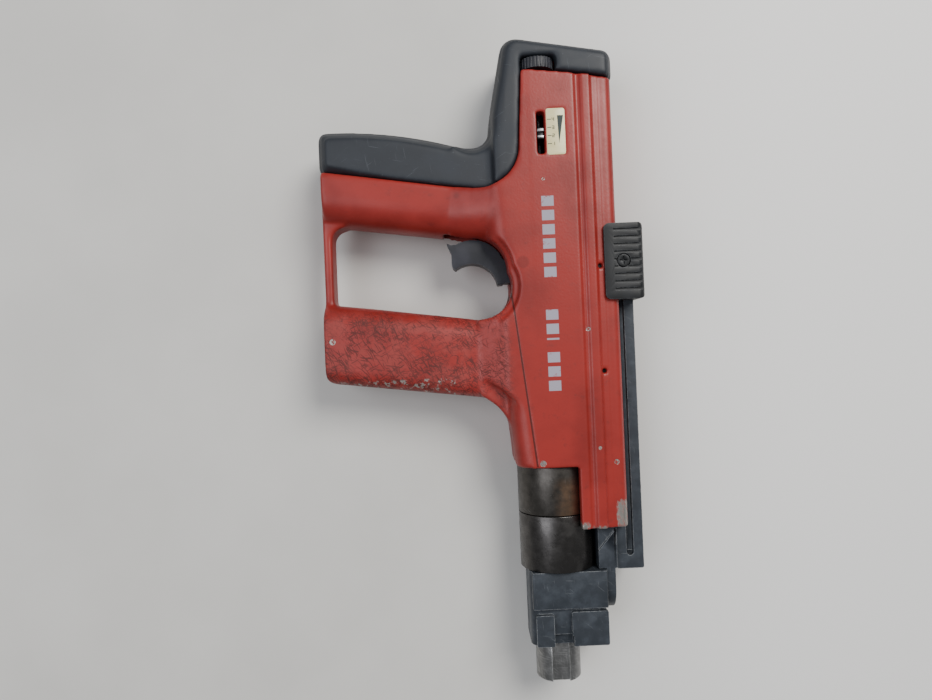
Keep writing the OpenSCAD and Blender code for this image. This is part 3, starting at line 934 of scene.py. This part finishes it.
@dataclass
class NoseUnit(SubAssembly):
    """Guide rings, nose block, fastener guide and side bracket, which slide back together."""

    block_break_mm: float = 0.7

    def build(self) -> None:
        """Build the nose."""
        self.place(self.machine("ring_front", "front_ring", 0.5), Skin.BLUED, "ring_front")
        self.place(self.machine("ring_rear", "rear_ring", 0.4), Skin.BLUED, "ring_rear",
                   material=self.finishes.stained)
        self.place(self.machine("nose_block", "block", self.block_break_mm), Skin.PHOSPHATE, "nose_block")
        self.place(self.machine("fastener_guide", "guide_end", 1.0, 4), Skin.PHOSPHATE, "fastener_guide",
                   material=self.finishes.bare)
        self.place(self.machine("nose_bracket", "side_bracket", 0.5), Skin.PHOSPHATE, "nose_bracket")
        self.place(self.machine("bracket_screw", "side_screw", 0.2), Skin.GROUND, "bracket_screw")


@dataclass
class TriggerUnit(SubAssembly):
    """The curved trigger lever."""

    break_mm: float = 1.4

    def build(self) -> None:
        """Build the lever."""
        self.place(self.machine("trigger", "trigger_lever", self.break_mm, 4), Skin.NYLON, "trigger")


@dataclass
class CockingUnit(SubAssembly):
    """The ribbed cocking grip with its screw."""

    break_mm: float = 0.5

    def build(self) -> None:
        """Build the grip and its screw."""
        self.place(self.machine("cocking_grip", "ribbed_grip", self.break_mm), Skin.GRIP, "cocking_grip")
        self.place(self.machine("cocking_screw", "grip_screw", 0.15), Skin.GROUND, "cocking_screw",
                   material=self.finishes.blackened_and_hole_shade)


@dataclass
class RailUnit(SubAssembly):
    """The pair of slotted rails that the cocking grip runs on."""

    break_mm: float = 0.4

    def build(self) -> None:
        """Build the rails."""
        self.place(self.machine("guide_rails", "rails", self.break_mm), Skin.PHOSPHATE, "guide_rails")


@dataclass
class PowerControl(SubAssembly):
    """The printed scale beside the pointer's slot."""

    top_mm: float = 26.42
    digit_mm: float = 1.7
    stroke_mm: float = 0.34
    ink_mm: float = 0.04
    ticks: tuple[float, ...] = (341.0, 336.2, 331.4, 326.6)
    wedge: tuple[tuple[float, float], ...] = ((7.6, 343.2), (8.3, 326.6), (11.2, 343.2))
    segments: dict[int, str] = field(default_factory=lambda: {1: "bc", 2: "abged", 3: "abgcd", 4: "fgbc"})

    @property
    def ink(self) -> tuple[float, float]:
        """Give the ink's lower and upper faces.

        Returns:
            Their heights above the middle plane, in millimetres.
        """
        return self.top_mm - self.ink_mm / 2, self.top_mm + self.ink_mm / 2

    def digit(self, form: bmesh.types.BMesh, number: int, x: float, y: float) -> None:
        """Add a small numeral made of straight strokes.

        Args:
            form: The print's shape.
            number: The numeral, from 1 to 4.
            x: Its left side, in millimetres on the tool.
            y: Its lower side, in millimetres on the tool.
        """
        w = self.digit_mm * 0.6
        h = self.digit_mm / 2
        t = self.stroke_mm
        low, high = self.ink
        strokes = {"a": (0, 2 * h, w, 2 * h), "b": (w, h, w, 2 * h), "c": (w, 0, w, h), "d": (0, 0, w, 0),
                   "e": (0, 0, 0, h), "f": (0, h, 0, 2 * h), "g": (0, h, w, h)}
        for letter in self.segments[number]:
            x0, y0, x1, y1 = strokes[letter]
            self.bar(form, TOOL.at(x + x0 - t / 2, y + y0 - t / 2, low),
                     TOOL.at(x + x1 + t / 2, y + y1 + t / 2, high))

    def print(self) -> bpy.types.Object:
        """Print the ticks, the numerals and the wedge that shows rising power.

        Returns:
            The print.
        """
        form = bmesh.new()
        low, high = self.ink
        for index, y in enumerate(self.ticks):
            self.bar(form, TOOL.at(1.6, y - 0.22, low), TOOL.at(4.0, y + 0.22, high))
            self.digit(form, 4 - index, 4.6, y - self.digit_mm / 2)
        corners = [TOOL.at(x, y, low) for x, y in self.wedge]
        wedge = form.faces.new([form.verts.new(c) for c in corners])
        raised = bmesh.ops.extrude_face_region(form, geom=[wedge])
        bmesh.ops.translate(form, verts=[v for v in raised["geom"] if isinstance(v, bmesh.types.BMVert)],
                            vec=(0.0, 0.0, self.ink_mm * MM))
        bmesh.ops.recalc_face_normals(form, faces=form.faces)
        return link("scale_print", form)

    def build(self) -> None:
        """Build the plate and its print."""
        self.place(self.machine("scale_plate", "plate", 0.1, 2), Skin.CARD, "scale_plate")
        self.place(self.print(), Skin.CARD, material=self.finishes.ink)


@dataclass
class Thumbwheel(SubAssembly):
    """The knurled wheel that sets the power."""

    def build(self) -> None:
        """Build the wheel."""
        self.place(self.machine("power_wheel", "wheel", 0.3, 2), Skin.NYLON, "power_wheel")


@dataclass
class Pointer(SubAssembly):
    """The banded pointer in its slot."""

    ease: tuple[float, float] = (0.92, 0.84)

    def build(self) -> None:
        """Build the pointer, a little slimmer than the CAD piece so that it runs free in the cast slot."""
        piece = self.machine("power_pointer", "pointer", 0.5, 3)
        middle = sum((Vector(corner) for corner in piece.bound_box), Vector()) / 8
        for vertex in piece.data.vertices:
            for axis, share in enumerate(self.ease):
                vertex.co[axis] = middle[axis] + (vertex.co[axis] - middle[axis]) * share
        self.place(piece, Skin.POINTER, "power_pointer")


@dataclass
class HiddenWorks:
    """The CAD pieces that stay as they are: pins, springs, piston and catches."""

    finishes: Finishes
    skins: dict[str, Skin] = field(default_factory=lambda: {
        "cartridge_guide": Skin.PHOSPHATE, "breech_block": Skin.GROUND, "rear_plug": Skin.GROUND,
        "arm_pins": Skin.GROUND, "trigger_pin": Skin.GROUND, "piston_guide": Skin.BLUED,
        "guide_pin": Skin.GROUND, "buffer_rings": Skin.BUFFER, "guide_catch": Skin.SPRING,
        "piston": Skin.GROUND, "firing_pin": Skin.GROUND, "firing_spring": Skin.SPRING,
        "contact_spring": Skin.SPRING, "trigger_spring": Skin.SPRING, "sear": Skin.GROUND,
        "cocking_nut": Skin.GROUND, "carriage_block": Skin.GROUND, "strip_pawl": Skin.SPRING})
    # painted shade: the rail pins take the blackened finish so that their ends read as dark, shaded holes;
    # the power spindle takes it as well
    darkened: tuple[str, ...] = ("rail_pins", "power_spindle")

    def build(self) -> None:
        """Dress the pieces."""
        for node, skin in self.skins.items():
            self.finishes.dress(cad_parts[node], skin)
        for node in self.darkened:
            self.finishes.dress(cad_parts[node], Skin.GROUND, self.finishes.blackened_and_hole_shade)
        LOG.info("hidden works: %d nodes", len(self.skins) + len(self.darkened))


# ---------------------------------------------------------------- the studio


@dataclass
class Studio:
    """Pale floor, soft lights and an overhead camera."""

    height: float = 0.466
    foot: tuple[float, float] = (-51.8, 207.0)
    roll: float = -2.4
    lens: float = 27.04
    sky: float = 0.30

    def floor(self) -> None:
        """Lay a pale floor under the tool, with painted light that brightens it towards the right."""
        form = bmesh.new()
        bmesh.ops.create_grid(form, x_segments=1, y_segments=1, size=3.0)
        ground = link("floor", form)
        g = Graph("pale_floor")
        colour = g.mix(g.band(g.noise(120.0, 4.0), 0.3, 0.7), linear("D9D7D3"), linear("D1CFCB"))
        # painted light: the floor blends to a lighter colour towards +X, standing in for brighter light on
        # the right
        colour = g.mix(g.band(g.along["X"], -0.05, 0.22), colour, linear("F5F4F3"))
        ground.data.materials.append(g.finish(colour, 0.6))

    def lamp(self, name: str, place: Vector, size: float, power: float, colour: str) -> None:
        """Hang a soft area light that looks at the tool.

        Args:
            name: The light's name.
            place: Where it hangs, in metres.
            size: Its width in metres.
            power: Its power in watts.
            colour: Its colour, as sRGB hex.
        """
        data = bpy.data.lights.new(name, "AREA")
        data.shape = "DISK"
        data.size = size
        data.energy = power
        data.color = linear(colour)[:3]
        light = bpy.data.objects.new(name, data)
        light.location = place
        light.rotation_euler = (-place).to_track_quat("-Z", "Y").to_euler()
        bpy.context.scene.collection.objects.link(light)

    def camera(self) -> None:
        """Look straight down on the tool."""
        data = bpy.data.cameras.new("camera")
        data.lens = self.lens
        data.clip_start = 0.01
        camera = bpy.data.objects.new("camera", data)
        place = TOOL.at(self.foot[0], self.foot[1], 0)
        camera.location = (place.x, place.y, self.height)
        camera.rotation_euler = (0.0, 0.0, math.radians(self.roll))
        bpy.context.scene.collection.objects.link(camera)
        bpy.context.scene.camera = camera

    def build(self) -> None:
        """Set up floor, lights, camera and a dim even sky."""
        self.floor()
        self.lamp("key", Vector((0.75, 0.85, 1.4)), 0.9, 29.0, "FFFDF8")
        self.lamp("fill", Vector((-0.9, 0.1, 1.4)), 1.2, 12.0, "F6F9FF")
        world = bpy.data.worlds.new("sky")
        world.use_nodes = True
        sky = world.node_tree.nodes["Background"].inputs
        sky["Color"].default_value = linear("F2F4F6")
        sky["Strength"].default_value = self.sky
        bpy.context.scene.world = world
        self.camera()


def main() -> None:
    """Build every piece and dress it."""
    logging.basicConfig(level=logging.INFO)
    finishes = Finishes()
    builders = (
        Studio(), HiddenWorks(finishes), Castings("housing", finishes), RubberPad("housing", finishes),
        RailUnit("housing", finishes), NoseUnit("nose", finishes), TriggerUnit("trigger", finishes),
        CockingUnit("cocking_grip", finishes), PowerControl("housing", finishes),
        Thumbwheel("power_wheel", finishes), Pointer("power_pointer", finishes))
    for builder in builders:
        builder.build()
        LOG.info("%s done", type(builder).__name__)


if __name__ == "__main__":
    main()
